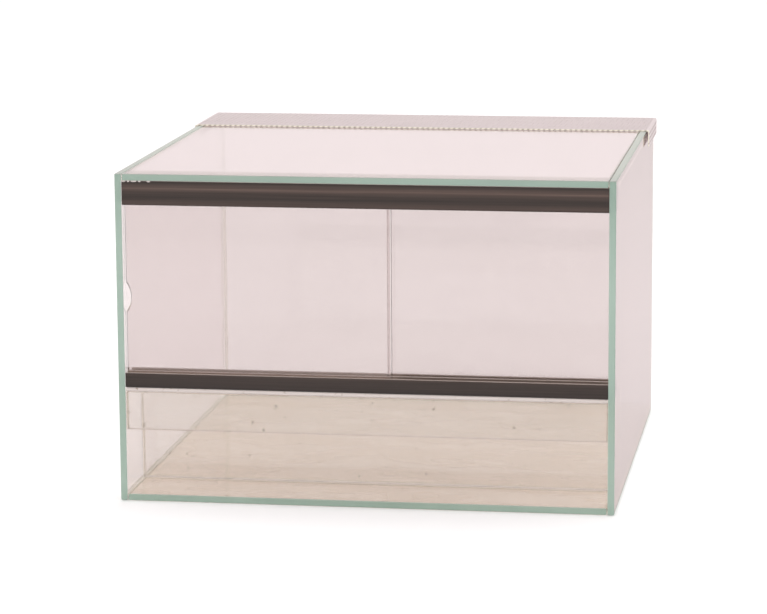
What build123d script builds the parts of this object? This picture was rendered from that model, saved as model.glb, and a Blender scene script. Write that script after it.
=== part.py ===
from build123d import *
import os

# A glass tank with a sliding-door front, for a hamster or another small pet.
# Frame: the origin is the middle of the floor pane's underside, +X is to the right of a person who
# faces the doors, +Y runs from the front to the back and +Z is up. Sizes are in millimetres.

# ---- Driving dimensions -------------------------------------------------------------------------
WIDTH = 300.0  # outside to outside of the side panes
DEPTH = 300.0  # front edges to the back face
HEIGHT = 200.0  # underside of the floor pane to the top edges

GLASS = 4.0  # thickness of every pane
ARRIS = 0.4  # bevel ground along each glass edge
BOND = 0.6  # silicone between the edge of one pane and the face of the next
BEAD = 2.0  # leg of the silicone fillet inside a corner
SMALL_BEAD = 1.5  # leg of the fillets behind the lower front pane and the apron
BEAD_HOLLOW = 0.36  # how near the middle of a fillet comes to its corner, as a share of its leg
RECESS = 0.3  # how far a silicone line stays inside the outer faces

TRACK_SETBACK = 1.0  # front edges of the tank to the front of the tracks
FIN = 2.8  # thickness of each of a track's three fins
CHANNEL = 6.0  # width of each of its two door channels
UPPER_TRACK_HEIGHT = 14.5
UPPER_TRACK_WEB = 2.5
LOWER_TRACK_HEIGHT = 8.6
LOWER_TRACK_WEB = 2.4
LOWER_TRACK_Z = 69.9  # underside of the lower track
TRACK_ROUND = 0.7  # rounding of the fins' tips and of the outer corners
TRACK_BOND = 0.4  # silicone that holds a track
TRACK_END_GAP = 0.1  # end of a track to the side pane

DOOR_GAP = 0.5  # side of a closed door to the side pane
DOOR_FLOAT = 0.3  # door to the floor of its channel
DOOR_HEIGHT = 114.3
LEFT_DOOR_WIDTH = 161.5
DOOR_OVERLAP = 3.7  # how far the closed doors pass each other
NOTCH_HEIGHT = 18.0  # finger notch ground into the outer edge of the left door
NOTCH_DEPTH = 3.0
NOTCH_Z = 124.5  # middle of the notch

APRON_HEIGHT = 23.5  # strip of glass that hangs under the lower track
APRON_BEAD = 2.7  # silicone between the apron and the track
FRONT_PANE_SETBACK = 41.4  # front edges of the tank to the lower front pane
STRIP_SHEET = 0.8  # perforated aluminium of the lower vent strip
STRIP_REVEAL = 5.5  # front edges of the tank to the lower vent strip
STRIP_END_GAP = 1.0  # end of the strip to the side pane

TOP_PANE_DEPTH = 243.0  # the roof stops here, and the vent opening lies behind it
COVER_OVERLAP = 12.0  # how far the vent cover laps over the roof
COVER_SHEET = 0.6  # perforated aluminium of the vent cover
COVER_FLOAT = 0.3  # cover sheet to the glass that it lies on
LEFT_FLANGE_GAP = 0.3  # the loose cover is pushed to the left, against the left side pane
RIGHT_FLANGE_GAP = 1.3
BACK_FLANGE_GAP = 1.3
FLANGE_DROP = 10.5  # height of the flanges
FLANGE_CORNER = 2.0  # rounding of the flanges' free corners
COVER_BEND = 1.0  # outer radius of the cover's folds

# ---- Planes and spans that the pieces share -----------------------------------------------------
FRONT = -DEPTH / 2
BACK = DEPTH / 2
OUTER = WIDTH / 2
INNER = OUTER - GLASS  # inner face of a side pane
SPAN = INNER - BOND  # half the width of every pane that stands between the side panes
BACK_FACE = BACK - GLASS  # inner face of the back pane
ROOF_FACE = HEIGHT - GLASS  # underside of the roof
ROOF_END = FRONT + TOP_PANE_DEPTH

TRACK_FRONT = FRONT + TRACK_SETBACK
TRACK_DEPTH = 3 * FIN + 2 * CHANNEL
TRACK_SPAN = INNER - TRACK_END_GAP  # half the length of each track
TRACK_BACK = TRACK_FRONT + TRACK_DEPTH
FRONT_CHANNEL = TRACK_FRONT + FIN + CHANNEL / 2  # middle plane of each channel
REAR_CHANNEL = FRONT_CHANNEL + FIN + CHANNEL
LOWER_TRACK_TOP = LOWER_TRACK_Z + LOWER_TRACK_HEIGHT
UPPER_TRACK_TOP = ROOF_FACE - TRACK_BOND
UPPER_TRACK_Z = UPPER_TRACK_TOP - UPPER_TRACK_HEIGHT

DOOR_Z = LOWER_TRACK_Z + LOWER_TRACK_WEB + DOOR_FLOAT
DOOR_TOP = DOOR_Z + DOOR_HEIGHT
DOOR_SIDE = INNER - DOOR_GAP
LEFT_DOOR_END = -DOOR_SIDE + LEFT_DOOR_WIDTH
RIGHT_DOOR_END = LEFT_DOOR_END - DOOR_OVERLAP
NOTCH_RADIUS = (NOTCH_HEIGHT**2 / 4 + NOTCH_DEPTH**2) / (2 * NOTCH_DEPTH)

APRON_BACK = TRACK_FRONT + GLASS
APRON_TOP = LOWER_TRACK_Z - APRON_BEAD
APRON_Z = APRON_TOP - APRON_HEIGHT
STRIP_TOP = LOWER_TRACK_Z - TRACK_BOND
STRIP_Z = STRIP_TOP - STRIP_SHEET
STRIP_FRONT = FRONT + STRIP_REVEAL
STRIP_SPAN = INNER - STRIP_END_GAP
FRONT_PANE_FACE = FRONT + FRONT_PANE_SETBACK
FRONT_PANE_BACK = FRONT_PANE_FACE + GLASS
FRONT_PANE_Z = GLASS + BOND
FRONT_PANE_TOP = STRIP_Z - TRACK_BOND

COVER_Z = HEIGHT + COVER_FLOAT
COVER_TOP = COVER_Z + COVER_SHEET
COVER_FRONT = ROOF_END - COVER_OVERLAP
COVER_LEFT = -OUTER - LEFT_FLANGE_GAP  # inner faces of the flanges
COVER_RIGHT = OUTER + RIGHT_FLANGE_GAP
COVER_BACK = BACK + BACK_FLANGE_GAP
FLANGE_Z = COVER_TOP - FLANGE_DROP


# ---- Shapes that several pieces share -----------------------------------------------------------
def block(x, y, z, mode=Mode.ADD):
    """Fill three (low, high) spans in the part that is being built."""
    with Locations(((x[0] + x[1]) / 2, (y[0] + y[1]) / 2, (z[0] + z[1]) / 2)):
        Box(x[1] - x[0], y[1] - y[0], z[1] - z[0], mode=mode)


def bead(plane, corner, leg_u, leg_v, length):
    """A hollow silicone fillet: its legs run from a corner on the plane, and it grows off the plane."""
    u, v = corner
    middle = (u + leg_u * BEAD_HOLLOW, v + leg_v * BEAD_HOLLOW)
    with BuildSketch(plane) as section:
        with BuildLine():
            Polyline((u + leg_u, v), (u, v), (u, v + leg_v))
            ThreePointArc((u, v + leg_v), middle, (u + leg_u, v))
        make_face()
    extrude(section.sketch, amount=length)


def bead_to_back(x, z, leg_x, leg_z, y):
    """A fillet that runs from front to back over the span y, in the corner at (x, z)."""
    start = Plane(origin=(0, y[1], 0), x_dir=(1, 0, 0), z_dir=(0, -1, 0))
    bead(start, (x, z), leg_x, leg_z, y[1] - y[0])


def bead_up(x, y, leg_x, leg_y, z):
    """An upright fillet over the span z, in the corner at (x, y)."""
    bead(Plane.XY.offset(z[0]), (x, y), leg_x, leg_y, z[1] - z[0])


def bead_across(y, z, leg_y, leg_z, x):
    """A fillet that runs from left to right over the span x, in the corner at (y, z)."""
    bead(Plane.YZ.offset(x[0]), (y, z), leg_y, leg_z, x[1] - x[0])


def track(z, web, height, opens):
    """A plastic track: a web with three fins that stand up (opens = 1) or hang down (opens = -1)."""
    tip = z + opens * height
    with BuildSketch(Plane.YZ.offset(-TRACK_SPAN)) as section:
        with Locations(((TRACK_FRONT + TRACK_BACK) / 2, z + opens * web / 2)):
            Rectangle(TRACK_DEPTH, web)
        with Locations((FRONT_CHANNEL + (FIN + CHANNEL) / 2, (z + tip) / 2)):
            with GridLocations(FIN + CHANNEL, 0, 3, 1):
                Rectangle(FIN, height)
        tips = section.vertices().filter_by(lambda v: abs(v.Z - tip) < TRACK_ROUND)
        outer = section.vertices().filter_by(lambda v: abs(v.Z - z) < TRACK_ROUND)
        fillet(tips + outer, TRACK_ROUND)
    extrude(section.sketch, amount=2 * TRACK_SPAN)


def save(piece, name):
    piece.part.label = name
    export_step(piece.part, f"parts/{name}.step")
    print(f"{name}: {piece.part.volume / 1000:.2f} cm3")


os.makedirs("parts", exist_ok=True)

# ---- Glass --------------------------------------------------------------------------------------
with BuildPart() as floor_pane:
    block((-SPAN, SPAN), (FRONT, BACK), (0, GLASS))
    chamfer(floor_pane.edges(), ARRIS)
save(floor_pane, "floor_pane")

with BuildPart() as left_side_pane:
    block((-OUTER, -INNER), (FRONT, BACK), (0, HEIGHT))
    chamfer(left_side_pane.edges(), ARRIS)
save(left_side_pane, "left_side_pane")

with BuildPart() as right_side_pane:
    block((INNER, OUTER), (FRONT, BACK), (0, HEIGHT))
    chamfer(right_side_pane.edges(), ARRIS)
save(right_side_pane, "right_side_pane")

with BuildPart() as back_pane:
    block((-SPAN, SPAN), (BACK_FACE, BACK), (GLASS + BOND, HEIGHT))
    chamfer(back_pane.edges(), ARRIS)
save(back_pane, "back_pane")

with BuildPart() as top_pane:
    block((-SPAN, SPAN), (FRONT, ROOF_END), (ROOF_FACE, HEIGHT))
    chamfer(top_pane.edges(), ARRIS)
save(top_pane, "top_pane")

with BuildPart() as front_lower_pane:
    block((-SPAN, SPAN), (FRONT_PANE_FACE, FRONT_PANE_BACK), (FRONT_PANE_Z, FRONT_PANE_TOP))
    chamfer(front_lower_pane.edges(), ARRIS)
save(front_lower_pane, "front_lower_pane")

with BuildPart() as front_apron:
    block((-SPAN, SPAN), (TRACK_FRONT, APRON_BACK), (APRON_Z, APRON_TOP))
    chamfer(front_apron.edges(), ARRIS)
save(front_apron, "front_apron")

# ---- Sliding doors and their tracks -------------------------------------------------------------
with BuildPart() as left_door:
    thickness = (FRONT_CHANNEL - GLASS / 2, FRONT_CHANNEL + GLASS / 2)
    block((-DOOR_SIDE, LEFT_DOOR_END), thickness, (DOOR_Z, DOOR_TOP))
    chamfer(left_door.edges(), ARRIS)
    notch_axis = -DOOR_SIDE + NOTCH_DEPTH - NOTCH_RADIUS
    with Locations(Location((notch_axis, FRONT_CHANNEL, NOTCH_Z), (90, 0, 0))):
        Cylinder(NOTCH_RADIUS, 2 * GLASS, mode=Mode.SUBTRACT)
save(left_door, "left_door")

with BuildPart() as right_door:
    thickness = (REAR_CHANNEL - GLASS / 2, REAR_CHANNEL + GLASS / 2)
    block((RIGHT_DOOR_END, DOOR_SIDE), thickness, (DOOR_Z, DOOR_TOP))
    chamfer(right_door.edges(), ARRIS)
save(right_door, "right_door")

with BuildPart() as lower_track:
    track(LOWER_TRACK_Z, LOWER_TRACK_WEB, LOWER_TRACK_HEIGHT, 1)
save(lower_track, "lower_track")

with BuildPart() as upper_track:
    track(UPPER_TRACK_TOP, UPPER_TRACK_WEB, UPPER_TRACK_HEIGHT, -1)
save(upper_track, "upper_track")

# ---- Aluminium vents ----------------------------------------------------------------------------
with BuildPart() as lower_vent_strip:
    block((-STRIP_SPAN, STRIP_SPAN), (STRIP_FRONT, FRONT_PANE_BACK), (STRIP_Z, STRIP_TOP))
save(lower_vent_strip, "lower_vent_strip")

with BuildPart() as vent_cover:
    # A tray turned upside down and left open at the front: the sheet lies over the opening, and its
    # flanges hang outside the side panes and the back pane.
    outside = (COVER_LEFT - COVER_SHEET, COVER_RIGHT + COVER_SHEET)
    block(outside, (COVER_FRONT, COVER_BACK + COVER_SHEET), (FLANGE_Z, COVER_TOP))
    fillet(vent_cover.edges().filter_by(Axis.Z).group_by(Axis.Y)[-1], COVER_BEND)
    fillet(vent_cover.edges().group_by(Axis.Z)[-1].filter_by(Axis.Y), COVER_BEND)
    block((COVER_LEFT, COVER_RIGHT), (COVER_FRONT, COVER_BACK), (FLANGE_Z, COVER_Z), Mode.SUBTRACT)
    lowest = vent_cover.edges().filter_by(Axis.X).group_by(Axis.Z)[0]
    fillet(lowest.group_by(Axis.Y)[0], FLANGE_CORNER)
save(vent_cover, "vent_cover")

# ---- Silicone -----------------------------------------------------------------------------------
for side, hand in (("left", -1), ("right", 1)):
    face = hand * INNER  # inner face of this side pane
    gap = (min(face, hand * SPAN), max(face, hand * SPAN))  # the silicone line beside it
    leg = -hand * BEAD
    small_leg = -hand * SMALL_BEAD

    with BuildPart() as floor_side_seam:
        block(gap, (FRONT + RECESS, BACK - RECESS), (RECESS, GLASS))
        bead_to_back(face, GLASS, leg, BEAD, (FRONT + RECESS, FRONT_PANE_FACE))
        bead_to_back(face, GLASS, leg, BEAD, (FRONT_PANE_BACK, BACK_FACE))
    save(floor_side_seam, f"floor_{side}_seam")

    with BuildPart() as back_side_seam:
        block(gap, (BACK_FACE, BACK - RECESS), (GLASS, HEIGHT - RECESS))
        bead_up(face, BACK_FACE, leg, -BEAD, (GLASS + BEAD, HEIGHT - RECESS))
    save(back_side_seam, f"back_{side}_seam")

    with BuildPart() as top_side_seam:
        block(gap, (FRONT + RECESS, ROOF_END), (ROOF_FACE, HEIGHT - RECESS))
        bead_to_back(face, ROOF_FACE, leg, -BEAD, (TRACK_BACK + BOND, ROOF_END))
    save(top_side_seam, f"top_{side}_seam")

    with BuildPart() as front_pane_side_seam:
        block(gap, (FRONT_PANE_FACE, FRONT_PANE_BACK), (GLASS, FRONT_PANE_TOP))
        bead_up(face, FRONT_PANE_BACK, small_leg, SMALL_BEAD, (GLASS + BEAD, FRONT_PANE_TOP))
    save(front_pane_side_seam, f"front_pane_{side}_seam")

    with BuildPart() as apron_side_seam:
        block(gap, (TRACK_FRONT, APRON_BACK), (APRON_Z, APRON_TOP))
        bead_up(face, APRON_BACK, small_leg, SMALL_BEAD, (APRON_Z, APRON_TOP))
    save(apron_side_seam, f"apron_{side}_seam")

with BuildPart() as floor_back_seam:
    block((-SPAN, SPAN), (BACK_FACE, BACK - RECESS), (GLASS, GLASS + BOND))
    bead_across(BACK_FACE, GLASS, -BEAD, BEAD, (BEAD - INNER, INNER - BEAD))
save(floor_back_seam, "floor_back_seam")

with BuildPart() as front_pane_floor_seam:
    block((-SPAN, SPAN), (FRONT_PANE_FACE, FRONT_PANE_BACK), (GLASS, FRONT_PANE_Z))
    bead_across(FRONT_PANE_BACK, GLASS, BEAD, BEAD, (BEAD - INNER, INNER - BEAD))
save(front_pane_floor_seam, "front_pane_floor_seam")

with BuildPart() as lower_track_bead:
    block((-SPAN, SPAN), (TRACK_FRONT, APRON_BACK), (APRON_TOP, LOWER_TRACK_Z))
save(lower_track_bead, "lower_track_bead")

with BuildPart() as upper_track_bond:
    block((-SPAN, SPAN), (TRACK_FRONT + FIN, TRACK_BACK - FIN), (UPPER_TRACK_TOP, ROOF_FACE))
save(upper_track_bond, "upper_track_bond")

with BuildPart() as strip_track_bond:
    block((-STRIP_SPAN, STRIP_SPAN), (STRIP_FRONT, TRACK_BACK - FIN), (STRIP_TOP, LOWER_TRACK_Z))
save(strip_track_bond, "strip_track_bond")

with BuildPart() as strip_pane_bond:
    block((-STRIP_SPAN, STRIP_SPAN), (FRONT_PANE_FACE, FRONT_PANE_BACK), (FRONT_PANE_TOP, STRIP_Z))
save(strip_pane_bond, "strip_pane_bond")
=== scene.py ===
# %% [markdown]
# # A glass tank with a sliding-door front, for a hamster
#
# The tank is built from cut sheets of float glass that are glued edge to edge with silicone. Two glass
# doors slide in brown plastic tracks, and a loose cover of perforated aluminium closes the rear of the
# roof. The CAD model already holds every size and every joint. This notebook loads it as a fixed frame
# and gives each part its looks: some CAD parts keep their shape and only get a finish, and others are
# replaced by a richer mesh that is built on their own box.

# %% Load the frame
import math

import bmesh
import bpy
from mathutils import Matrix, Vector, noise


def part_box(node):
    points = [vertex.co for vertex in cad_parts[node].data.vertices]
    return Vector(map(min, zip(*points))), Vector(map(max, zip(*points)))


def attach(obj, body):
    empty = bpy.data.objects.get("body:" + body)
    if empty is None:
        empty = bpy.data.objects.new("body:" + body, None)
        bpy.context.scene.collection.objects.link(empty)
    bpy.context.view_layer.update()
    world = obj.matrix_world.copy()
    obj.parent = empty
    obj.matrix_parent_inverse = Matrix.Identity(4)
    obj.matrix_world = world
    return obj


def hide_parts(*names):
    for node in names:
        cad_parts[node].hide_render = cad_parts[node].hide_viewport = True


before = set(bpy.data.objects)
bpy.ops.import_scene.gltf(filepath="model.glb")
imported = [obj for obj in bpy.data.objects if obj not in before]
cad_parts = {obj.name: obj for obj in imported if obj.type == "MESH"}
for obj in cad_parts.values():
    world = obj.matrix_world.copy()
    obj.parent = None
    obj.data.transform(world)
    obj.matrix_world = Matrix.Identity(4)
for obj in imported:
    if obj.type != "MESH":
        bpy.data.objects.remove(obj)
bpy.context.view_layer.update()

MM = 0.001  # Blender works in metres

# %% [markdown]
# ## Camera
#
# The camera stands a little to the right of the middle and looks slightly down on the roof. It could be
# aimed with a Track To constraint, but three turns say more: first around the vertical by the azimuth,
# then tilted down by the elevation, then rolled by a fraction of a degree as a hand-held camera is. A
# long lens keeps the verticals nearly parallel.

# %% Place the camera
AIM = Vector((-11.5, 0.0, 95.0)) * MM
DISTANCE = 2033.7 * MM
AZIMUTH = math.radians(8.995)
ELEVATION = math.radians(10.332)
ROLL = math.radians(-0.376)
LENS, SENSOR = 148.7, 36.0  # both in millimetres, as on a real camera

turn = (
    Matrix.Rotation(AZIMUTH, 4, "Z")
    @ Matrix.Rotation(math.pi / 2 - ELEVATION, 4, "X")
    @ Matrix.Rotation(ROLL, 4, "Z")
)
camera_data = bpy.data.cameras.new("camera")
camera_data.sensor_width = SENSOR
camera_data.lens = LENS
camera = bpy.data.objects.new("camera", camera_data)
camera.matrix_world = Matrix.Translation(AIM) @ turn @ Matrix.Translation((0, 0, DISTANCE))
bpy.context.scene.collection.objects.link(camera)
bpy.context.scene.camera = camera
print("camera at", [round(value, 3) for value in camera.matrix_world.translation])

# %% [markdown]
# ## Studio
#
# Clear glass shows whatever surrounds it, so the room matters more here than for an opaque object. A
# white world lights the tank evenly from all sides, a pale floor carries it, and soft area lights add a
# direction without hard shadows. The Standard view transform keeps white white. Light has to pass up to
# ten glass faces in a row, and every face that it passes counts as one transparent bounce, so their
# number is raised: with too few, the far corners of the tank turn black.

# %% White room
TRANSPARENT_BOUNCES = 40
GLASS_BOUNCES = 24
ROOM_COLOUR = (1.0, 0.97, 0.97, 1.0)
ROOM_STRENGTH = 1.10

scene = bpy.context.scene
scene.view_settings.view_transform = "Standard"
scene.cycles.transparent_max_bounces = TRANSPARENT_BOUNCES
scene.cycles.max_bounces = GLASS_BOUNCES
scene.cycles.transmission_bounces = GLASS_BOUNCES

world = bpy.data.worlds.new("white_room")
world.use_nodes = True
background = world.node_tree.nodes["Background"].inputs
background["Color"].default_value = ROOM_COLOUR
background["Strength"].default_value = ROOM_STRENGTH
scene.world = world
print(f"a white room of strength {ROOM_STRENGTH}")

# %% Pale floor
FLOOR_HALF = 12.0
FLOOR_DROP = 0.5 * MM  # keeps the floor out of the plane of the tank's underside
PAPER = {"Base Color": (0.94, 0.94, 0.94, 1.0), "Roughness": 0.9, "Specular IOR Level": 0.1}

floor_mesh = bmesh.new()
bmesh.ops.create_grid(floor_mesh, x_segments=1, y_segments=1, size=FLOOR_HALF)
floor_data = bpy.data.meshes.new("studio_floor")
floor_mesh.to_mesh(floor_data)
floor_mesh.free()
studio_floor = bpy.data.objects.new("studio_floor", floor_data)
studio_floor.location.z = -FLOOR_DROP
scene.collection.objects.link(studio_floor)
paper = bpy.data.materials.new("white_paper")
paper.use_nodes = True
for socket, value in PAPER.items():
    paper.node_tree.nodes["Principled BSDF"].inputs[socket].default_value = value
floor_data.materials.append(paper)
print(f"a floor {2 * FLOOR_HALF:.0f} m wide")


# %% Soft lights
def soft_light(name, place, target, size, watts):
    """An area light of that side length that looks from a place at a target, all in metres."""
    data = bpy.data.lights.new(name, "AREA")
    data.size = size
    data.energy = watts
    light = bpy.data.objects.new(name, data)
    light.location = place
    aim = Vector(target) - Vector(place)
    light.rotation_euler = aim.to_track_quat("-Z", "Y").to_euler()
    scene.collection.objects.link(light)
    print(f"{name}: {watts} W, {aim.length:.2f} m away")


TANK_MIDDLE = (0, 0, 0.1)
soft_light("key", (-1.4, -1.6, 1.9), TANK_MIDDLE, 1.6, 6.0)
soft_light("fill", (1.9, -1.2, 1.3), TANK_MIDDLE, 1.4, 9.0)
soft_light("top", (0.2, 0.9, 2.2), TANK_MIDDLE, 1.8, 8.0)

# %% [markdown]
# ## Helpers for materials
#
# A node tree is a graph of small steps. `add` makes a node and sets its options and sockets, and `wire`
# joins two of them. The same few steps come back in every finish of this tank, so each gets a helper
# that returns the socket the next step reads: where on the piece we are, a noise, a change of range, a
# colour ramp, a mix of two shaders, and a surface with a bump.

# %% Nodes and links
def tree_of(name):
    """A new empty node tree in a new material, with its output node."""
    material = bpy.data.materials.new(name)
    material.use_nodes = True
    tree = material.node_tree
    tree.nodes.clear()
    output = tree.nodes.new("ShaderNodeOutputMaterial")
    return material, tree, output


def add(tree, kind, options=None, **sockets):
    """A node of that kind. Options set its properties, and sockets its unlinked inputs."""
    node = tree.nodes.new("ShaderNode" + kind)
    for key, value in (options or {}).items():
        setattr(node, key, value)
    for key, value in sockets.items():
        node.inputs[key.replace("_", " ")].default_value = value
    return node


def wire(tree, source, target):
    tree.links.new(source, target)


print("node helpers ready")


# %% Steps that every finish uses
BUMP_DEPTH = 0.0001  # metres


def coordinates(tree, scale=None):
    """Object coordinates, squeezed by the scale if there is one."""
    place = add(tree, "TexCoord").outputs["Object"]
    if scale is None:
        return place
    squeezed = add(tree, "Mapping", Scale=scale)
    wire(tree, place, squeezed.inputs["Vector"])
    return squeezed.outputs["Vector"]


def noise_over(tree, place, **sockets):
    """Noise at those coordinates."""
    texture = add(tree, "TexNoise", **sockets)
    wire(tree, place, texture.inputs["Vector"])
    return texture.outputs["Fac"]


def ranged(tree, value, **sockets):
    """The value, carried from one range to another."""
    node = add(tree, "MapRange", **sockets)
    wire(tree, value, node.inputs["Value"])
    return node.outputs["Result"]


def ramp(tree, value, start, dark, end, light):
    """A colour that runs from dark, where the value is at start, to light, where it is at end."""
    node = add(tree, "ValToRGB")
    for stop, position, colour in zip(node.color_ramp.elements, (start, end), (dark, light)):
        stop.position = position
        stop.color = (*colour, 1.0)
    wire(tree, value, node.inputs["Fac"])
    return node.outputs["Color"]


def shaders_mixed(tree, share, first, second):
    """Two shaders in one. Share is a socket or a number, and says how much of the second one shows."""
    node = add(tree, "MixShader")
    if isinstance(share, float):
        node.inputs["Fac"].default_value = share
    else:
        wire(tree, share, node.inputs["Fac"])
    wire(tree, first, node.inputs[1])
    wire(tree, second, node.inputs[2])
    return node.outputs["Shader"]


def bumped(tree, colour, height, strength, **sockets):
    """A Principled surface of that colour, with a bump that follows the height."""
    bump = add(tree, "Bump", Strength=strength, Distance=BUMP_DEPTH)
    wire(tree, height, bump.inputs["Height"])
    surface = add(tree, "BsdfPrincipled", **sockets)
    wire(tree, colour, surface.inputs["Base Color"])
    wire(tree, bump.outputs["Normal"], surface.inputs["Normal"])
    return surface.outputs["BSDF"]


print("finish helpers ready")


# %% [markdown]
# ## Helpers for pieces
#
# A bmesh is a mesh under construction. `merge` drops one bmesh into another at its place, and `publish`
# turns a finished one into an object at the origin and says which CAD node it stands for, which body
# carries it and whose finish it has. By hand, Ctrl+J joins objects as `merge` does.

# %% Merge and publish
def publish(name, mesh, materials, node, body="tank"):
    """Make the bmesh a piece that stands for a CAD node."""
    bmesh.ops.recalc_face_normals(mesh, faces=mesh.faces)
    data = bpy.data.meshes.new(name)
    mesh.to_mesh(data)
    mesh.free()
    for material in materials:
        data.materials.append(material)
    piece = bpy.data.objects.new(name, data)
    scene.collection.objects.link(piece)
    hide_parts(node)
    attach(piece, body)
    low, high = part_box(node)
    size = [round(value / MM, 1) for value in high - low]
    print(f"{name}: {len(data.polygons)} faces for {node}, {size} mm")


def verts_in(items):
    """The vertices among a list of vertices, edges and faces."""
    return [item for item in items if isinstance(item, bmesh.types.BMVert)]


def block_on(low, high):
    """A cube that fills the box between two corners."""
    mesh = bmesh.new()
    bmesh.ops.create_cube(mesh, size=1.0)
    bmesh.ops.scale(mesh, vec=high - low, verts=mesh.verts)
    bmesh.ops.translate(mesh, vec=(low + high) / 2, verts=mesh.verts)
    return mesh


def merge(target, source, matrix):
    """Move the source mesh by the matrix and add it to the target mesh."""
    bmesh.ops.transform(source, matrix=matrix, verts=source.verts)
    data = bpy.data.meshes.new("scratch")
    source.to_mesh(data)
    source.free()
    target.from_mesh(data)
    bpy.data.meshes.remove(data)


print("piece helpers ready")

# %% [markdown]
# ## Finish: clear glass
#
# Seen straight on, float glass lets nearly everything through, and at a flat angle it turns into a
# mirror. A Transparent shader mixed with a mirror would look right in the middle of a pane, but it
# would show the far edges of the sheet much too wide, because nothing bends the light. So the faces
# get a real Glass shader. Glass blocks the rays that look for lamps, which would leave the tank dark
# inside, and a Light Path node lets just those rays through. A second mix does the same for the light
# that matt surfaces throw at each other. Over it lies a faint film of dust and wiping marks, a thin coat
# of diffuse colour whose strength comes from stretched noise.

# %% Glass material
GLASS_IOR = 1.5
CRUMB = (0.16, 0.12, 0.08)


def wiped_glass(name, tint, film_colour, least, most, streak=(1.0, 1.0, 1.0), dirt=0.0, detail=4.0):
    """Clear glass with a dust film whose share runs from least to most, and specks of dirt."""
    material, tree, output = tree_of(name)
    sheet = add(tree, "BsdfGlass", Color=(*tint, 1.0), Roughness=0.0, IOR=GLASS_IOR).outputs["BSDF"]
    open_way = add(tree, "BsdfTransparent").outputs["BSDF"]
    ray = add(tree, "LightPath")
    glass = shaders_mixed(tree, ray.outputs["Is Shadow Ray"], sheet, open_way)
    glass = shaders_mixed(tree, ray.outputs["Is Diffuse Ray"], glass, open_way)
    blotch = noise_over(tree, coordinates(tree, streak), Scale=22.0, Detail=detail, Roughness=0.6)
    share = ranged(tree, blotch, From_Min=0.35, From_Max=0.75, To_Min=least, To_Max=most)
    film = add(tree, "BsdfDiffuse", Color=(*film_colour, 1.0)).outputs["BSDF"]
    finish = shaders_mixed(tree, share, glass, film)
    if dirt:
        grit = noise_over(tree, coordinates(tree), Scale=300.0, Detail=1.0)
        spots = ranged(tree, grit, From_Min=0.755, From_Max=0.80, To_Max=dirt)
        crumb = add(tree, "BsdfDiffuse", Color=(*CRUMB, 1.0)).outputs["BSDF"]
        finish = shaders_mixed(tree, spots, finish, crumb)
    wire(tree, finish, output.inputs["Surface"])
    return material


print("glass helper ready")

# %% [markdown]
# ## Finish: one glass for each place
#
# All panes are cut from the same glass, but dust and use differ. The roof and the upright panes are
# nearly clean, the doors carry smudges of hands, and the floor is filmed with soil and crumbs. Each pane
# also gets its own tint, and the much darker tint of the right side pane is painted shade. A single
# material with a mask could hold all of that, but a material for each place is easier to read and to
# adjust. The colours are linear RGB.

# %% Glass finishes
DUST = (0.84, 0.79, 0.78)
SOIL = (0.73, 0.62, 0.51)
SMUDGE = (0.56, 0.50, 0.47)
CLEAR = (0.900, 0.873, 0.871)
RUN_DOWN = (1.0, 1.0, 0.4)  # stretches the film along Z, as wiping and water leave it
left_glass = wiped_glass("left_glass", (0.930, 0.905, 0.903), DUST, 0.0, 0.02, RUN_DOWN)
# The right side pane's darker tint is painted shade on the same glass.
right_glass_painted_shade = wiped_glass("right_glass_painted_shade", (0.790, 0.735, 0.733), DUST, 0.0, 0.02, RUN_DOWN)
back_glass = wiped_glass("back_glass", CLEAR, DUST, 0.0, 0.02, RUN_DOWN)
roof_glass = wiped_glass("roof_glass", (0.925, 0.885, 0.885), DUST, 0.0, 0.02)
floor_glass = wiped_glass("floor_glass", (0.921, 0.891, 0.866), SOIL, 0.22, 0.34, (0.6, 1.3, 1.0), 0.6, 2.0)
front_glass = wiped_glass("front_glass", (0.950, 0.943, 0.933), DUST, 0.005, 0.04, (0.5, 1.0, 1.5), 0.4)
door_glass = wiped_glass("door_glass", CLEAR, SMUDGE, 0.0, 0.085, (0.35, 1.0, 0.8))
rubbed_edge = wiped_glass("rubbed_edge", (0.86, 0.835, 0.81), SOIL, 0.05, 0.15)
polished_edge = wiped_glass("polished_edge", (0.955, 0.955, 0.95), DUST, 0.0, 0.05)
print("glass finishes ready")

# %% [markdown]
# ## Finish: ground glass edges
#
# The cut edges of the panes look quite different from their faces. Light that travels along inside the
# sheet comes out there, and iron in the glass turns it green. The edge is ground flat, so it is matt
# and shows fine lines of the grinding belt. One Principled shader does that: a pale green base whose
# tone wanders along the edge, and a bump from very stretched noise.

# %% Dust and painted light on top
def dust_and_top_light(tree, colour, dust, most):
    """The colour, paler on the faces that look up: partly settled dust, partly painted light from above."""
    split = add(tree, "SeparateXYZ")
    wire(tree, add(tree, "NewGeometry").outputs["Normal"], split.inputs["Vector"])
    share = ranged(tree, split.outputs["Z"], From_Min=0.2, From_Max=1.0, To_Max=most)
    paled = add(tree, "Mix", {"data_type": "RGBA"})
    paled.inputs["B"].default_value = (*dust, 1.0)
    wire(tree, share, paled.inputs["Factor"])
    wire(tree, colour, paled.inputs["A"])
    return paled.outputs["Result"]


print("dust helper ready")


# %% Edge material
def belt_ground(name, deep, pale, dust, glow):
    """Ground glass edge, from a deeper to a paler green. Glow is the share of light from inside."""
    material, tree, output = tree_of(name)
    place = coordinates(tree)
    wander = noise_over(tree, place, Scale=18.0, Detail=3.0, Roughness=0.55)
    green = ramp(tree, wander, 0.3, deep, 0.72, pale)
    # Faces that look up, such as the top arris, turn paler: dust, and painted light from above.
    colour = dust_and_top_light(tree, green, dust, 0.80)
    grain = noise_over(tree, place, Scale=2400.0, Detail=2.0)
    surface = bumped(tree, colour, grain, 0.15, Roughness=0.42)
    inside = add(tree, "BsdfTranslucent", Color=(0.50, 0.58, 0.53, 1.0)).outputs["BSDF"]
    wire(tree, shaders_mixed(tree, glow, surface, inside), output.inputs["Surface"])
    return material


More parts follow.
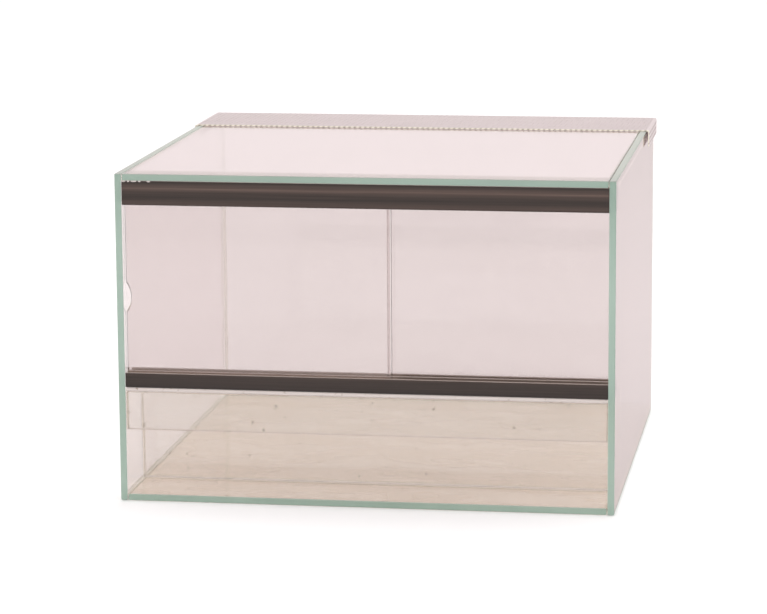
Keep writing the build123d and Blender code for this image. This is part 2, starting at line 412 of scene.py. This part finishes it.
ground_edge = belt_ground(
    "ground_edge", (0.22, 0.345, 0.275), (0.285, 0.415, 0.34), (0.58, 0.53, 0.51), 0.45
)
print("edge finish ready")

# %% [markdown]
# ## Fixed panes
#
# Each pane is a sheet with its sharp edges taken off, an arris. A scaled cube with a one-segment bevel
# is exactly that shape. A Bevel modifier would give the same mesh, but the operator lets the next lines
# tell the broad faces from the narrow ones: whatever faces along the thin direction is clear glass. An
# exposed edge shows its green grinding. An edge that is bonded to another pane is wetted by the
# silicone, which hides the grinding, so it looks clear, as the polished rear edges do. Each pane says
# which of its sides are ground.

# %% Pane helper
ARRIS = 0.4 * MM
STRAIGHT = 0.99  # cosine between a face's normal and a direction it looks straight along
ROUGHLY = 0.6  # the same, where the face may lean as an arris does
TO_FRONT, TO_BACK, UP, DOWN = (0, -1, 0), (0, 1, 0), (0, 0, 1), (0, 0, -1)


def take_arris(mesh, edges):
    """Grind the sharp edges off."""
    bmesh.ops.bevel(
        mesh, geom=edges, offset=ARRIS, affect="EDGES", segments=1, profile=0.5, material=-1
    )
    mesh.normal_update()


def cut_pane(name, node, face_glass, exposed, clear_edge=polished_edge):
    """A cube on the node's box with arrises. Exposed lists the directions of its green edges."""
    low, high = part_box(node)
    size = high - low
    thin = min(range(3), key=lambda axis: size[axis])
    mesh = block_on(low, high)
    take_arris(mesh, mesh.edges[:])
    for face in mesh.faces:
        broad = abs(face.normal[thin]) > STRAIGHT
        ground = any(face.normal.dot(Vector(side)) > ROUGHLY for side in exposed)
        face.material_index = 0 if broad else 1 if ground else 2
    publish(name, mesh, [face_glass, ground_edge, clear_edge], node)


print(f"arrises of {ARRIS / MM} mm")

# %% The seven fixed panes
SIDE_EDGES = (TO_FRONT, UP, DOWN)
cut_pane("floor_sheet", "floor_pane", floor_glass, (TO_FRONT, TO_BACK))
cut_pane("left_side_sheet", "left_side_pane", left_glass, SIDE_EDGES)
cut_pane("right_side_sheet", "right_side_pane", right_glass_painted_shade, SIDE_EDGES)
cut_pane("back_sheet", "back_pane", back_glass, (UP,))
cut_pane("roof_sheet", "top_pane", roof_glass, (TO_FRONT, TO_BACK))
cut_pane("set_back_sheet", "front_lower_pane", front_glass, ())
cut_pane("apron_sheet", "front_apron", front_glass, (), rubbed_edge)

# %% [markdown]
# ## Sliding doors
#
# A door is the same glass, and its edges are polished, because hands and tracks touch them. The left
# door has a round finger notch in its outer edge. A vertex at the foot of the notch is spun about the
# notch's centre and leaves an arc of edges behind. Four corners close the outline, one fill makes it a
# face, and an extrusion gives it the thickness of the glass. Only the rims of the two broad faces get an
# arris.

# %% Outline of a door
NOTCH_MIDDLE = 124.5 * MM
NOTCH_HEIGHT = 18.0 * MM
NOTCH_DEPTH = 3.0 * MM
NOTCH_RADIUS = (NOTCH_HEIGHT**2 / 4 + NOTCH_DEPTH**2) / (2 * NOTCH_DEPTH)
NOTCH_STEPS = 14


def door_outline(mesh, low, high, notched):
    """The vertices around a door's front face, with or without a finger notch in its left edge."""
    corners = [
        mesh.verts.new((x, low.y, z))
        for x, z in ((low.x, high.z), (high.x, high.z), (high.x, low.z), (low.x, low.z))
    ]
    if not notched:
        return [*corners, corners[0]]
    foot = mesh.verts.new((low.x, low.y, NOTCH_MIDDLE - NOTCH_HEIGHT / 2))
    centre = (low.x - NOTCH_RADIUS + NOTCH_DEPTH, low.y, NOTCH_MIDDLE)
    sweep = -2 * math.asin(NOTCH_HEIGHT / 2 / NOTCH_RADIUS)
    spun = bmesh.ops.spin(
        mesh, geom=[foot], cent=centre, axis=(0, 1, 0), angle=sweep, steps=NOTCH_STEPS
    )
    return [verts_in(spun["geom_last"])[0], *corners, foot]


print(f"the notch has a radius of {NOTCH_RADIUS / MM:.1f} mm")


# %% Both doors
def sliding_door(name, node, notched):
    """A pane that fills the node's box, with or without a finger notch."""
    low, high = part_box(node)
    mesh = bmesh.new()
    chain = door_outline(mesh, low, high, notched)
    for start, end in zip(chain, chain[1:]):
        mesh.edges.new((start, end))
    bmesh.ops.contextual_create(mesh, geom=mesh.edges[:])
    grown = bmesh.ops.extrude_face_region(mesh, geom=mesh.faces[:])["geom"]
    bmesh.ops.translate(mesh, vec=(0, high.y - low.y, 0), verts=verts_in(grown))
    bmesh.ops.recalc_face_normals(mesh, faces=mesh.faces)
    mesh.normal_update()
    rims = [
        edge
        for edge in mesh.edges
        if sum(abs(face.normal.y) > STRAIGHT for face in edge.link_faces) == 1
    ]
    take_arris(mesh, rims)
    for face in mesh.faces:
        face.material_index = 0 if abs(face.normal.y) > STRAIGHT else 1
    publish(name, mesh, [door_glass, polished_edge], node, node)


sliding_door("left_sliding_door", "left_door", True)
sliding_door("right_sliding_door", "right_door", False)

# %% [markdown]
# ## Finish: brown plastic
#
# The tracks are extruded from brown plastic. Extrusion draws faint lines along the length, and handling
# leaves the plastic satin, not glossy. The noise is squeezed along Y and Z and stretched along X, so it
# reads as drawn lines. A ramp over the height paints bands of highlight and shade: on the upper track the
# light that its slightly hollow front would catch, and on the lower track a paler top. Behind the front
# fin and on the faces that look up, the plastic turns paler, partly from dust and partly from painted
# highlight, and the layer in the channels thins out towards the right, where the front channel lies
# open, which paints that end darker.

# %% Painted light bands, and channel dust with painted highlight
PALE_FADE_LEFT, PALE_FADE_RIGHT = 0.010, 0.024  # between these places along X the pale layer of dust and painted highlight thins out, which paints the right end darker


def paint_light_bands(tree, colour, height, bands):
    """The colour, with painted highlight and shade laid on as (height, brightness) bands."""
    foot, head = bands[0][0], bands[-1][0]
    level = add(tree, "ValToRGB")
    while len(level.color_ramp.elements) < len(bands):
        level.color_ramp.elements.new(0.5)
    for stop, (at, bright) in zip(level.color_ramp.elements, bands):
        stop.position = (at - foot) / (head - foot)
        stop.color = (bright, bright, bright, 1.0)
    wire(tree, ranged(tree, height, From_Min=foot, From_Max=head), level.inputs["Fac"])
    shaded = add(tree, "Mix", {"data_type": "RGBA", "blend_type": "MULTIPLY"}, Factor=1.0)
    wire(tree, colour, shaded.inputs["A"])
    wire(tree, level.outputs["Color"], shaded.inputs["B"])
    return shaded.outputs["Result"]


def channel_dust_and_highlight(tree, colour, place, pale_from, dust):
    """The colour, with a pale layer behind the given plane across Y, partly dust and partly painted highlight, and
    less of it towards the right.
    """
    behind = ranged(tree, place.outputs["Y"], From_Min=pale_from, From_Max=pale_from + MM, To_Max=0.78)
    fading = ranged(
        tree, place.outputs["X"], From_Min=PALE_FADE_LEFT, From_Max=PALE_FADE_RIGHT, To_Min=1.0, To_Max=0.42
    )
    pale_share = add(tree, "Math", {"operation": "MULTIPLY"})
    wire(tree, behind, pale_share.inputs[0])
    wire(tree, fading, pale_share.inputs[1])
    paled = add(tree, "Mix", {"data_type": "RGBA"})
    paled.inputs["B"].default_value = (*dust, 1.0)
    wire(tree, pale_share.outputs["Value"], paled.inputs["Factor"])
    wire(tree, colour, paled.inputs["A"])
    return paled.outputs["Result"]


print("plastic helpers ready")

# %% Plastic material
DARK_BROWN, LIGHT_BROWN = (0.064, 0.040, 0.032), (0.118, 0.078, 0.064)
CHANNEL_DUST_AND_HIGHLIGHT, TOP_DUST_AND_HIGHLIGHT = (0.41, 0.32, 0.27), (0.29, 0.225, 0.195)  # pale layers in the channels and on top: dust, and painted highlight


def drawn_plastic(name, bands, pale_from):
    """Satin brown plastic with drawn lines, painted highlight and shade bands over its height, and a pale layer of
    dust and painted highlight in its channels and on top.
    """
    material, tree, output = tree_of(name)
    lines = noise_over(
        tree, coordinates(tree, (0.6, 60.0, 60.0)), Scale=16.0, Detail=4.0, Roughness=0.6
    )
    brown = ramp(tree, lines, 0.3, DARK_BROWN, 0.75, LIGHT_BROWN)
    place = add(tree, "SeparateXYZ")
    wire(tree, coordinates(tree), place.inputs["Vector"])
    colour = paint_light_bands(tree, brown, place.outputs["Z"], bands)
    # Behind the front fin and on faces that look up the plastic turns paler: dust, and painted highlight. The
    # channel layer thins out to the right, which paints that end darker.
    colour = channel_dust_and_highlight(tree, colour, place, pale_from, CHANNEL_DUST_AND_HIGHLIGHT)
    colour = dust_and_top_light(tree, colour, TOP_DUST_AND_HIGHLIGHT, 0.80)
    surface = bumped(tree, colour, lines, 0.2, Roughness=0.38, Specular_IOR_Level=0.35)
    wire(tree, surface, output.inputs["Surface"])
    return material


def refinish(node, material):
    """Give a carried-over CAD node its finish, and leave its mesh alone."""
    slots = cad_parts[node].material_slots
    for slot in slots:
        slot.material = material
    print(f"{node}: {len(slots)} slot")


print("plastic material ready")

# %% The two tracks
# Each band of painted highlight or shade is a height in metres above the ground, and a brightness.
# The upper track's bands paint the light that its slightly hollow front would catch, and the lower track's paint
# its top paler.
UPPER_PAINTED_LIGHT = (
    (0.1811, 0.42),
    (0.1825, 0.64),
    (0.1860, 0.28),
    (0.1892, 0.45),
    (0.1912, 1.0),
    (0.1930, 0.64),
    (0.1956, 0.22),
)
LOWER_PAINTED_LIGHT = ((0.0699, 0.22), (0.0720, 0.32), (0.0760, 0.34), (0.0785, 0.48))
FIN = 1.4 * MM  # thickness of the wall in front of the first channel
front_fin, track_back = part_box("lower_track")[0].y + FIN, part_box("upper_track")[1].y
refinish("lower_track", drawn_plastic("lower_track_plastic", LOWER_PAINTED_LIGHT, front_fin))
refinish("upper_track", drawn_plastic("upper_track_plastic", UPPER_PAINTED_LIGHT, track_back))

# %% [markdown]
# ## Finish: perforated aluminium
#
# The vents are bought perforated sheet: dull rolled aluminium with round holes. The metal itself is a
# metallic Principled shader with a rolled grain. The holes are real, because a bump can't let light
# through. Where the cover was snipped off through a row of holes, its rim gets a pale finish whose
# colour swings once per hole pitch from dark to pale: painted shade in the notches between the teeth
# and painted light on the teeth.

# %% Rolled aluminium
PITCH = 3.5 * MM  # from hole to hole

aluminium, tree, output = tree_of("perforated_aluminium")
grain = noise_over(
    tree, coordinates(tree, (1.0, 30.0, 30.0)), Scale=40.0, Detail=4.0, Roughness=0.65
)
grey = ramp(tree, grain, 0.3, (0.58, 0.50, 0.50), 0.7, (0.69, 0.61, 0.61))
surface = bumped(tree, grey, grain, 0.15, Metallic=0.85, Roughness=0.42)
wire(tree, surface, output.inputs["Surface"])
print("rolled aluminium ready")

# %% Snipped rim
rim_painted_light, tree, output = tree_of("snipped_rim_painted_light")
along = add(tree, "SeparateXYZ")
wire(tree, coordinates(tree), along.inputs["Vector"])
turns = add(tree, "Math", {"operation": "MULTIPLY"})
turns.inputs[1].default_value = 2 * math.pi / PITCH
wire(tree, along.outputs["X"], turns.inputs[0])
tooth_wave = add(tree, "Math", {"operation": "SINE"})
wire(tree, turns.outputs["Value"], tooth_wave.inputs[0])
# Once per pitch along X the colour swings from dark to pale: painted shade in the notches between the teeth and
# painted light on the teeth.
tooth_light_and_shade = ranged(tree, tooth_wave.outputs["Value"], From_Min=-0.6, From_Max=0.6)
colour = ramp(tree, tooth_light_and_shade, 0.0, (0.50, 0.46, 0.38), 1.0, (0.78, 0.73, 0.63))
raw = add(tree, "BsdfPrincipled", Roughness=0.6, Metallic=0.1)
wire(tree, colour, raw.inputs["Base Color"])
wire(tree, raw.outputs["BSDF"], output.inputs["Surface"])
print("snipped rim ready")

# %% [markdown]
# ## Perforated sheet
#
# One hole with the rectangle of metal around it is a tile. Its hole is a ring of eight vertices and its
# outer edge a rectangle with a vertex in the middle of each side, and bridging the two rings fills the
# metal in. Copies of the tile, side by side, make a row. Every second row is shifted by half a pitch,
# as the holes of such sheet are, and gets half a blank at each end. Merging doubles welds it all, which
# works because neighbours have vertices in the same places. An Array modifier could repeat the tile too,
# but the folds that follow need the welded mesh.

# %% Tile
ROW = PITCH * math.sqrt(0.75)  # from row to row of a staggered pattern
HOLE = 2.0 * MM


def geometry(mesh):
    return mesh.verts[:] + mesh.edges[:] + mesh.faces[:]


def tile(mesh, width, depth):
    """A rectangle from (0, 0) to (width, depth) with an eight-sided hole in its middle."""
    bmesh.ops.create_circle(mesh, segments=8, radius=HOLE / 2)
    square = bmesh.ops.create_circle(mesh, segments=4, radius=math.sqrt(0.5))
    bmesh.ops.rotate(
        mesh, verts=square["verts"], cent=(0, 0, 0), matrix=Matrix.Rotation(math.pi / 4, 3, "Z")
    )
    bmesh.ops.scale(mesh, vec=(width, depth, 1), verts=square["verts"])
    sides = {edge for vert in square["verts"] for edge in vert.link_edges}
    bmesh.ops.subdivide_edges(mesh, edges=list(sides), cuts=1)
    bmesh.ops.bridge_loops(mesh, edges=mesh.edges[:])
    bmesh.ops.translate(mesh, vec=(width / 2, depth / 2, 0), verts=mesh.verts)


print(f"rows are {ROW / MM:.2f} mm apart")


# %% Copies of the tile
def moved_copy(mesh, source, step):
    """A copy of the geometry, a step further: the copy and its vertices."""
    copy = bmesh.ops.duplicate(mesh, geom=source)["geom"]
    bmesh.ops.translate(mesh, vec=step, verts=verts_in(copy))
    return copy, verts_in(copy)


def repeat(mesh, first, count, step):
    """Copy the first geometry count - 1 times, a step further each time."""
    for index in range(1, count):
        moved_copy(mesh, first, Vector(step) * index)


print("copy helpers ready")


# %% Sheet
def perforated(columns, step, rows, row_depth):
    """A flat sheet of columns * step by rows * row_depth from (0, 0), and its number of holes."""
    width = columns * step
    mesh = bmesh.new()
    tile(mesh, step, row_depth)
    repeat(mesh, geometry(mesh), columns, (step, 0, 0))
    whole = geometry(mesh)
    shifted, verts = moved_copy(mesh, whole, (step / 2, row_depth, 0))
    spare = [vert for vert in verts if vert.co.x > width - step / 2 + step / 100]
    bmesh.ops.delete(mesh, geom=spare, context="VERTS")
    shifted = [item for item in shifted if item.is_valid]
    for x in (step / 4, width - step / 4):
        blank = bmesh.ops.create_grid(mesh, x_segments=1, y_segments=2, size=0.5)["verts"]
        bmesh.ops.scale(mesh, vec=(step / 2, row_depth, 1), verts=blank)
        bmesh.ops.translate(mesh, vec=(x, row_depth * 1.5, 0), verts=blank)
        faces = {face for vert in blank for face in vert.link_faces}
        edges = {edge for vert in blank for edge in vert.link_edges}
        shifted += [*blank, *edges, *faces]
    repeat(mesh, whole, (rows + 1) // 2, (0, 2 * row_depth, 0))
    repeat(mesh, shifted, rows // 2, (0, 2 * row_depth, 0))
    bmesh.ops.remove_doubles(mesh, verts=mesh.verts, dist=step / 100)
    return mesh, columns * rows - rows // 2


sample, count = perforated(4, PITCH, 2, ROW)
print(f"a patch of {count} holes has {len(sample.faces)} faces")
sample.free()

# %% [markdown]
# ## Lower vent strip
#
# A flat perforated strip closes the gap between the lower track and the set-back pane. It could be cut
# from a larger sheet with the Bisect tool, but here the pitch gives way by a few hundredths of a
# millimetre, so that a whole number of holes fits the gap. The top skin is laid at the upper side of
# the box, and Solidify adds the thickness below it.

# %% Strip
low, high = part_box("lower_vent_strip")
width, depth = high.x - low.x, high.y - low.y
columns, rows = round(width / PITCH), round(depth / ROW)
strip, count = perforated(columns, width / columns, rows, depth / rows)
bmesh.ops.translate(strip, vec=(low.x, low.y, high.z), verts=strip.verts)
bmesh.ops.recalc_face_normals(strip, faces=strip.faces)
bmesh.ops.solidify(strip, geom=strip.faces[:], thickness=high.z - low.z)
publish("perforated_strip", strip, [aluminium], "lower_vent_strip")
print(f"{count} holes")

# %% [markdown]
# ## Vent cover
#
# The cover is a tray turned upside down: a perforated sheet whose sides and back are folded down. The
# front edge was cut with snips right through a row of holes, which leaves it toothed. It is modelled as
# it is made. The flat sheet comes first, then each rim is spun through a quarter turn for the fold, and
# a second perforated strip is welded on as the flange. Solidify gives the skin its thickness at the
# very end.

# %% Flat blank
BEND = 1.0 * MM
low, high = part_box("vent_cover")
left, right, rear = low.x + BEND, high.x - BEND, high.y - BEND
drop = high.z - BEND  # height where the folds end and the flanges begin


def trim_front(mesh):
    """Cut away what lies in front of the cover's box."""
    bmesh.ops.bisect_plane(
        mesh, geom=geometry(mesh), plane_co=(0, low.y, 0), plane_no=(0, 1, 0), clear_inner=True
    )


reach = rear - low.y
rows = round(reach / ROW)
row_depth = reach / (rows - 0.5)  # the front cut goes through the middle of a row
columns = round((right - left) / PITCH)
step = (right - left) / columns
cover, holes = perforated(columns, step, rows, row_depth)
bmesh.ops.translate(cover, vec=(left, rear - row_depth * rows, high.z), verts=cover.verts)
trim_front(cover)
print(f"a blank of {columns} columns and {rows} rows")

# %% Folds
BEND_STEPS = 3
QUARTER = math.pi / 2
near = PITCH / 50  # how far off a rim a vertex may be and still count as on it


def fold_rim(mesh, on_rim, cent, axis):
    """Spin the boundary edges that lie on a rim down through a quarter turn."""
    rim = [edge for edge in mesh.edges if edge.is_boundary and all(on_rim(v.co) for v in edge.verts)]
    bmesh.ops.spin(mesh, geom=rim, cent=cent, axis=axis, angle=QUARTER, steps=BEND_STEPS)
    print(f"{len(rim)} edges folded")


def on_rear_rim(co):
    return abs(co.y - rear) < near and left - near < co.x < right + near and co.z > high.z - near


fold_rim(cover, lambda co: abs(co.x - left) < near, (left, 0, drop), (0, -1, 0))
fold_rim(cover, lambda co: abs(co.x - right) < near, (right, 0, drop), (0, 1, 0))
fold_rim(cover, on_rear_rim, (0, rear, drop), (-1, 0, 0))

# %% Flanges
FLANGE_ROWS = 3
flange_row = (drop - low.z) / FLANGE_ROWS
hang = Matrix.Rotation(-QUARTER, 4, "X")
across = Matrix.Rotation(QUARTER, 4, "Z")

flange, more = perforated(columns, step, FLANGE_ROWS, flange_row)
merge(cover, flange, Matrix.Translation((left, high.y, drop)) @ hang)
holes += more
for x in (low.x, high.x):
    flange, more = perforated(rows, row_depth, FLANGE_ROWS, flange_row)
    start = Matrix.Translation((x, rear - row_depth * rows, drop))
    merge(cover, flange, start @ across @ hang)
    holes += more
trim_front(cover)
bmesh.ops.remove_doubles(cover, verts=cover.verts, dist=PITCH / 100)
print(f"{holes} holes")

# %% Thickness
SHEET = 0.6 * MM
SNIPPED = 3.4 * MM  # depth of the front rim that carries the painted shade and light of its teeth
bmesh.ops.recalc_face_normals(cover, faces=cover.faces)
cover.normal_update()
top_face = max(cover.faces, key=lambda face: face.calc_center_median().z)
if top_face.normal.z < 0:
    bmesh.ops.reverse_faces(cover, faces=cover.faces)
bmesh.ops.solidify(cover, geom=cover.faces[:], thickness=SHEET)
for face in cover.faces:
    face.material_index = 1 if face.calc_center_median().y < low.y + SNIPPED else 0
publish(
    "perforated_cover", cover, [aluminium, rim_painted_light], "vent_cover", "vent_cover"
)

# %% [markdown]
# ## Finish: silicone
#
# Clear silicone ages to a milky, slightly yellow rubber. Most of the light still passes, so the shader
# mixes a soft Principled surface with a Transparent one. Dirt settles where the bead meets the glass,
# and shows as dark specks from thresholded noise.

# %% Silicone material
def aged_silicone(name, pale, dirt, see_through, speck):
    """Milky rubber that passes that share of the light. Speck is how much of it is dirty."""
    material, tree, output = tree_of(name)
    specks = noise_over(tree, coordinates(tree), Scale=420.0, Detail=2.0)
    colour = ramp(tree, specks, speck, dirt, speck + 0.08, pale)
    rubber = add(tree, "BsdfPrincipled", Roughness=0.3)
    wire(tree, colour, rubber.inputs["Base Color"])
    through = add(tree, "BsdfTransparent", Color=(0.975, 0.965, 0.95, 1.0))
    mixed = shaders_mixed(tree, see_through, rubber.outputs["BSDF"], through.outputs["BSDF"])
    wire(tree, mixed, output.inputs["Surface"])
    return material


clear_silicone = aged_silicone("clear_silicone", (0.90, 0.88, 0.82), (0.22, 0.18, 0.12), 0.89, 0.25)
milky_silicone = aged_silicone("milky_silicone", (0.72, 0.65, 0.62), (0.40, 0.32, 0.26), 0.25, 0.26)
for node in ("strip_track_bond", "strip_pane_bond"):
    refinish(node, clear_silicone)

# %% [markdown]
# ## Silicone beads
#
# A thin line of silicone joins the edge of one pane to the face of the next, and inside the tank it is
# wiped into a hollow fillet. The wiping is done by hand, so the fillet's width wanders. Its section is
# drawn once: three corners for the line, and an arc spun from a single vertex for the hollow. The section
# is then extruded in short steps, and each step's arc is scaled a little by smooth noise. A Displace
# modifier would also move the flat sides that lie on the glass, which this way leaves alone. One thing
# to know: the operator keeps the face that a step starts from, so these beads have thin cross walls
# inside. Deleting that face after each step would leave them hollow.

# %% Section of a bead
BOND = 0.6 * MM
HOLLOW = 0.36  # how near the middle of the arc comes to the corner, as a share of the leg
ARC_CENTRE = (1 - 2 * HOLLOW**2) / (2 - 4 * HOLLOW)
ARC_SWEEP = math.pi / 2 - 2 * math.atan2(ARC_CENTRE - 1, ARC_CENTRE)
ARC_STEPS = 5
BEAD_STEP = 3.5 * MM


def join_up(mesh, chain):
    """Close a chain of vertices into an outline, and fill it with one face."""
    for start, end in zip(chain, chain[1:]):
        if mesh.edges.get((start, end)) is None:
            mesh.edges.new((start, end))
    bmesh.ops.contextual_create(mesh, geom=mesh.edges[:])


def draw_out(mesh, length):
    """Extrude the mesh's one face along Z in short steps."""
    steps = max(1, round(length / BEAD_STEP))
    grown = mesh.faces[:]
    for _ in range(steps):
        grown = bmesh.ops.extrude_face_region(mesh, geom=grown)["geom"]
        bmesh.ops.translate(mesh, vec=(0, 0, length / steps), verts=verts_in(grown))
        grown = [item for item in grown if isinstance(item, bmesh.types.BMFace)]


print(f"arc centre {ARC_CENTRE:.3f}, sweep {math.degrees(ARC_SWEEP):.1f} degrees")

# %% One run of a bead
WAVE = 14.0 * MM  # length of the waves in a bead's width
SWAY = 0.22  # how much the width wanders, as a share
JUST_OVER = 0.01 * BOND


def bead_run(target, corner, u, v, w, length, depth, leg, seed):
    """A length of silicone along w: a line depth deep behind the corner, and a fillet with that leg."""
    mesh = bmesh.new()
    low_line = [mesh.verts.new((x, y, 0)) for x, y in ((0, -depth), (BOND, -depth), (BOND, 0))]
    if leg:
        tip = mesh.verts.new((leg, 0, 0))
        centre = (ARC_CENTRE * leg, ARC_CENTRE * leg, 0)
        spun = bmesh.ops.spin(
            mesh, geom=[tip], cent=centre, axis=(0, 0, 1), angle=-ARC_SWEEP, steps=ARC_STEPS
        )
        join_up(mesh, [verts_in(spun["geom_last"])[0], *low_line, tip])
    else:
        heel = mesh.verts.new((0, 0, 0))
        join_up(mesh, [heel, *low_line, heel])
    draw_out(mesh, length)
    for vert in mesh.verts:
        if vert.co.x > BOND + JUST_OVER or vert.co.y > JUST_OVER:
            along = vert.co.z / WAVE
            vert.co.x *= 1 + SWAY * noise.noise((along, seed, 0.0))
            vert.co.y *= 1 + SWAY * noise.noise((along, seed, 7.0))
    place = Matrix((u, v, w)).transposed().to_4x4()
    merge(target, mesh, Matrix.Translation(corner) @ place)


def bead_piece(name, node, runs):
    """A silicone piece from its runs, each given as bead_run's values from corner to leg."""
    mesh = bmesh.new()
    for index, run in enumerate(runs):
        bead_run(mesh, *run, seed=len(node) + 3.7 * index)
    publish(name, mesh, [clear_silicone], node)


print("bead helpers ready")

# %% [markdown]
# ## Beads along the side panes
#
# Each side pane has a seam with the floor, the back, the roof, the set-back pane and the apron. The two
# sides are mirror images, so one loop makes both, and `inward` turns the sections round. A seam that
# passes another pane is one piece of several runs: where a pane stands in the corner there is only the
# thin line, and on either side of it the fillet.

# %% Planes that the beads lie on
X, Y, Z = Vector((1, 0, 0)), Vector((0, 1, 0)), Vector((0, 0, 1))
front_box, apron_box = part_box("front_lower_pane"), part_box("front_apron")
floor_top, back_face, roof_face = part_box("floor_pane")[1].z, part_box("back_pane")[0].y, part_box("top_pane")[0].z
front_face, front_back, apron_back = front_box[0].y, front_box[1].y, apron_box[1].y
behind_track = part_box("upper_track")[1].y + BOND
print(f"beads run {floor_top / MM:.1f} to {roof_face / MM:.1f} mm above the ground")

# %% Left and right beads
for side, inward in (("left", X), ("right", -X)):
    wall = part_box("left_side_pane")[1].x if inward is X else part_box("right_side_pane")[0].x

    low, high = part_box(f"floor_{side}_seam")
    leg, deep = high.x - low.x, floor_top - low.z
    stops = (
        (low.y, front_face, leg),
        (front_face, front_back, 0),
        (front_back, back_face, leg),
        (back_face, high.y, 0),
    )
    bead_piece(f"floor_{side}_bead", f"floor_{side}_seam", [
        (Vector((wall, start, floor_top)), inward, Z, Y, end - start, deep, fillet)
        for start, end, fillet in stops
    ])

    low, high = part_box(f"back_{side}_seam")
    start, deep = Vector((wall, back_face, floor_top)), high.y - back_face
    bead_piece(f"back_{side}_bead", f"back_{side}_seam", (
        (start, inward, -Y, Z, leg, deep, 0),
        (start + Z * leg, inward, -Y, Z, high.z - floor_top - leg, deep, leg),
    ))

    low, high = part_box(f"top_{side}_seam")
    deep = high.z - roof_face
    bead_piece(f"roof_{side}_bead", f"top_{side}_seam", (
        (Vector((wall, low.y, roof_face)), inward, -Z, Y, behind_track - low.y, deep, 0),
        (Vector((wall, behind_track, roof_face)), inward, -Z, Y, high.y - behind_track, deep, leg),
    ))

    low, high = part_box(f"front_pane_{side}_seam")
    start, deep = Vector((wall, front_back, floor_top)), front_back - low.y
    small = high.x - low.x
    bead_piece(f"set_back_{side}_bead", f"front_pane_{side}_seam", (
        (start, inward, Y, Z, leg, deep, 0),
        (start + Z * leg, inward, Y, Z, high.z - floor_top - leg, deep, small),
    ))

    low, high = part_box(f"apron_{side}_seam")
    start, deep = Vector((wall, apron_back, low.z)), apron_back - low.y
    bead_piece(f"apron_{side}_bead", f"apron_{side}_seam", (
        (start, inward, Y, Z, high.z - low.z, deep, small),
    ))

# %% Beads along the floor
for name, node, plane, out in (
    ("floor_back_bead", "floor_back_seam", back_face, -Y),
    ("set_back_floor_bead", "front_pane_floor_seam", front_back, Y),
):
    low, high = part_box(node)
    deep = high.y - plane if out.y < 0 else plane - low.y
    start = Vector((low.x, plane, floor_top))
    bead_piece(name, node, ((start, Z, out, X, high.x - low.x, deep, high.z - floor_top),))

# %% [markdown]
# ## Thick bead under the lower track
#
# The apron hangs from the lower track on a thick bead of milky silicone, which bulges forward and sags
# a little between the places where the nozzle stopped. A curve with a bevel would give an even round
# rod. Here a seven-cornered section is extruded in short steps, and smooth noise pushes its front back
# by fractions of a millimetre.

# %% Thick bead
BULGE = ((0.45, 0.0), (0.12, 0.25), (0.0, 0.5), (0.12, 0.78), (0.5, 1.0))  # mm back, share of the height
SAG = 0.35 * MM
FRONT_PART = 1.0 * MM  # only vertices this near the front are moved
low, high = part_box("lower_track_bead")
height, depth = high.z - low.z, high.y - low.y
thick = bmesh.new()
rim = [thick.verts.new((back * MM, height * rise, 0)) for back, rise in BULGE]
rim += [thick.verts.new((depth, z, 0)) for z in (height, 0)]
join_up(thick, [*rim, rim[0]])
draw_out(thick, high.x - low.x)
for vert in thick.verts:
    if vert.co.x < FRONT_PART:
        vert.co.x += SAG * (1 + noise.noise((vert.co.z / WAVE, vert.co.y / WAVE, 3.0)))
bead = bmesh.new()
merge(bead, thick, Matrix.Translation(low) @ Matrix((Y, Z, X)).transposed().to_4x4())
publish("apron_top_bead", bead, [milky_silicone], "lower_track_bead")

# %% [markdown]
# ## Silicone over the upper track
#
# A thin clear bond holds the upper track to the roof. At the left end a little too much was put on, and
# it was squeezed out at the front in drops, which have gone milky. The bond is a cube on its box, and a
# drop is a UV sphere flattened against the track. A metaball would melt the drops together, but they
# are too far apart.

# %% Bond with drops
DROPS = ((1.2, 1.5), (4.1, 0.9), (7.4, 1.8), (11.0, 0.8), (16.5, 1.1))  # mm from the end, half length in mm
FLAT, LOW = 0.45, 0.55  # half depth and half height of a drop, in mm
AHEAD, BELOW = 0.05 * MM, 0.1 * MM  # a drop's middle, from the upper front edge of the track
track_low, track_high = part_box("upper_track")
bond = block_on(*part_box("upper_track_bond"))
slab_faces = len(bond.faces)
for offset, half in DROPS:
    drop = bmesh.new()
    bmesh.ops.create_uvsphere(drop, u_segments=14, v_segments=8, radius=MM)
    spot = Vector((track_low.x + offset * MM, track_low.y - AHEAD, track_high.z - BELOW))
    merge(bond, drop, Matrix.Translation(spot) @ Matrix.Diagonal((half, FLAT, LOW, 1.0)))
bond.faces.index_update()
for face in bond.faces:
    face.material_index = 1 if face.index >= slab_faces else 0
publish("squeezed_out_bond", bond, [clear_silicone, milky_silicone], "upper_track_bond")
print(f"{len(DROPS)} drops")
